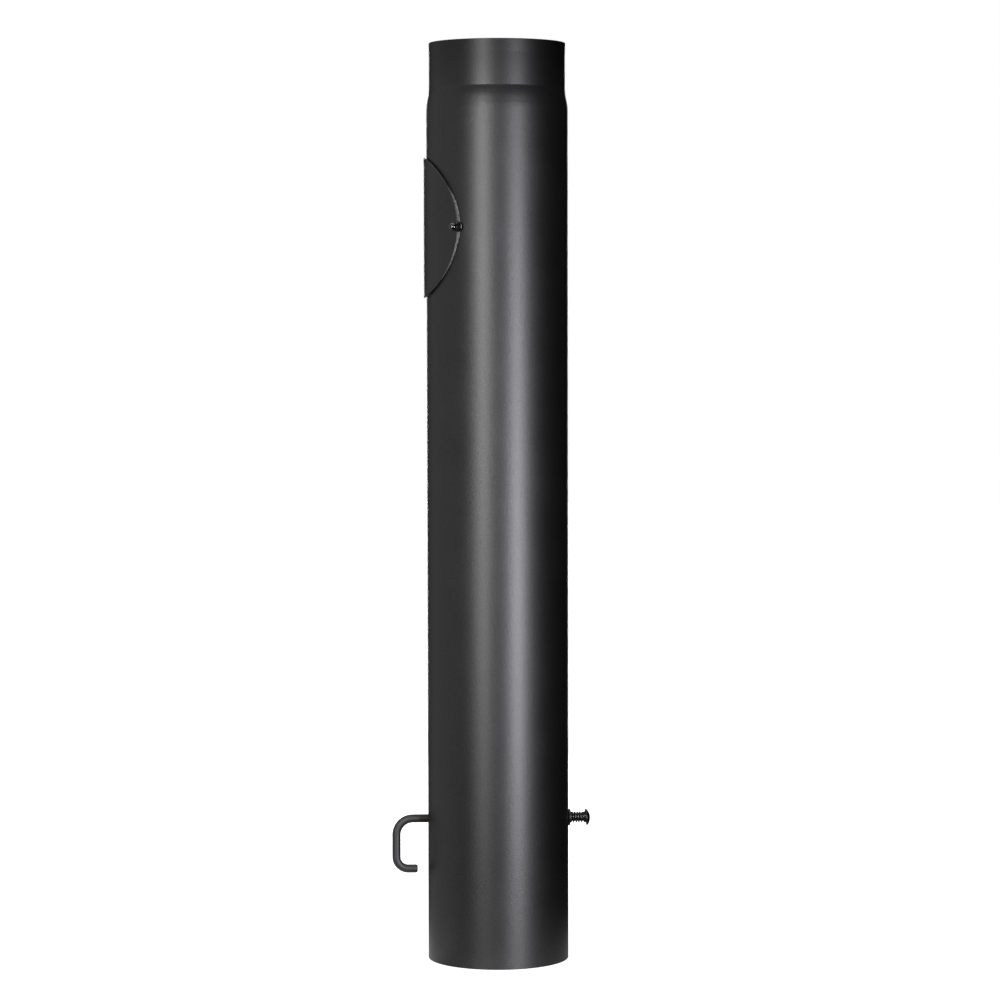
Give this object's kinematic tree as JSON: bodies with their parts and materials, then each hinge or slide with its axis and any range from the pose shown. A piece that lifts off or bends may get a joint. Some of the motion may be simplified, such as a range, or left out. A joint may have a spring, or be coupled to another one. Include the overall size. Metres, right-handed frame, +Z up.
{
  "type": "stove flue pipe with damper and cleanout cover",
  "caption": "Straight steel stove pipe with a reduced neck, a bolted cleanout cover and a spring-loaded butterfly damper turned by a bent rod handle.",
  "frame": {"origin": "centre of the plain bottom rim, on the pipe's axis", "axes": "+Z up along the pipe towards the reduced neck, +X along the damper shaft from the handle towards the spring, so the handle and the cleanout cover are on the -X side"},
  "size_m": [0.2176, 0.1554, 1],
  "materials": {
    "stove_paint": "fine-grained satin heat-proof stove paint",
    "gasket_fibre": "pressed mineral fibre",
    "blade_steel": "thin matt heat-proof paint on plate",
    "black_steel": "glossy black plated fasteners",
    "spring_steel": "dark drawn spring wire"
  },
  "bodies": {
    "flue": {"pipe": "stove_paint", "cleanout_cover": "stove_paint", "cover_gasket": "gasket_fibre", "cover_stud_front": "black_steel", "cover_stud_rear": "black_steel", "cover_washer_front": "black_steel", "cover_washer_rear": "black_steel", "cover_nut_front": "black_steel", "cover_nut_rear": "black_steel", "inner_washer": "black_steel"},
    "damper": {"damper_shaft": "stove_paint", "damper_blade": "blade_steel", "blade_saddle_left": "blade_steel", "blade_saddle_right": "blade_steel", "rivet_left_lower": "blade_steel", "rivet_left_upper": "blade_steel", "rivet_right_lower": "blade_steel", "rivet_right_upper": "blade_steel", "outer_washer": "black_steel", "shaft_spring": "spring_steel", "lock_washer": "black_steel", "end_cap": "black_steel"}
  },
  "joints": [
    {"name": "damper_turn", "type": "hinge", "parent": "flue", "child": "damper", "pos_m": [0, 0, 0.154], "axis": [1, 0, 0], "continuous": true}
  ]
}
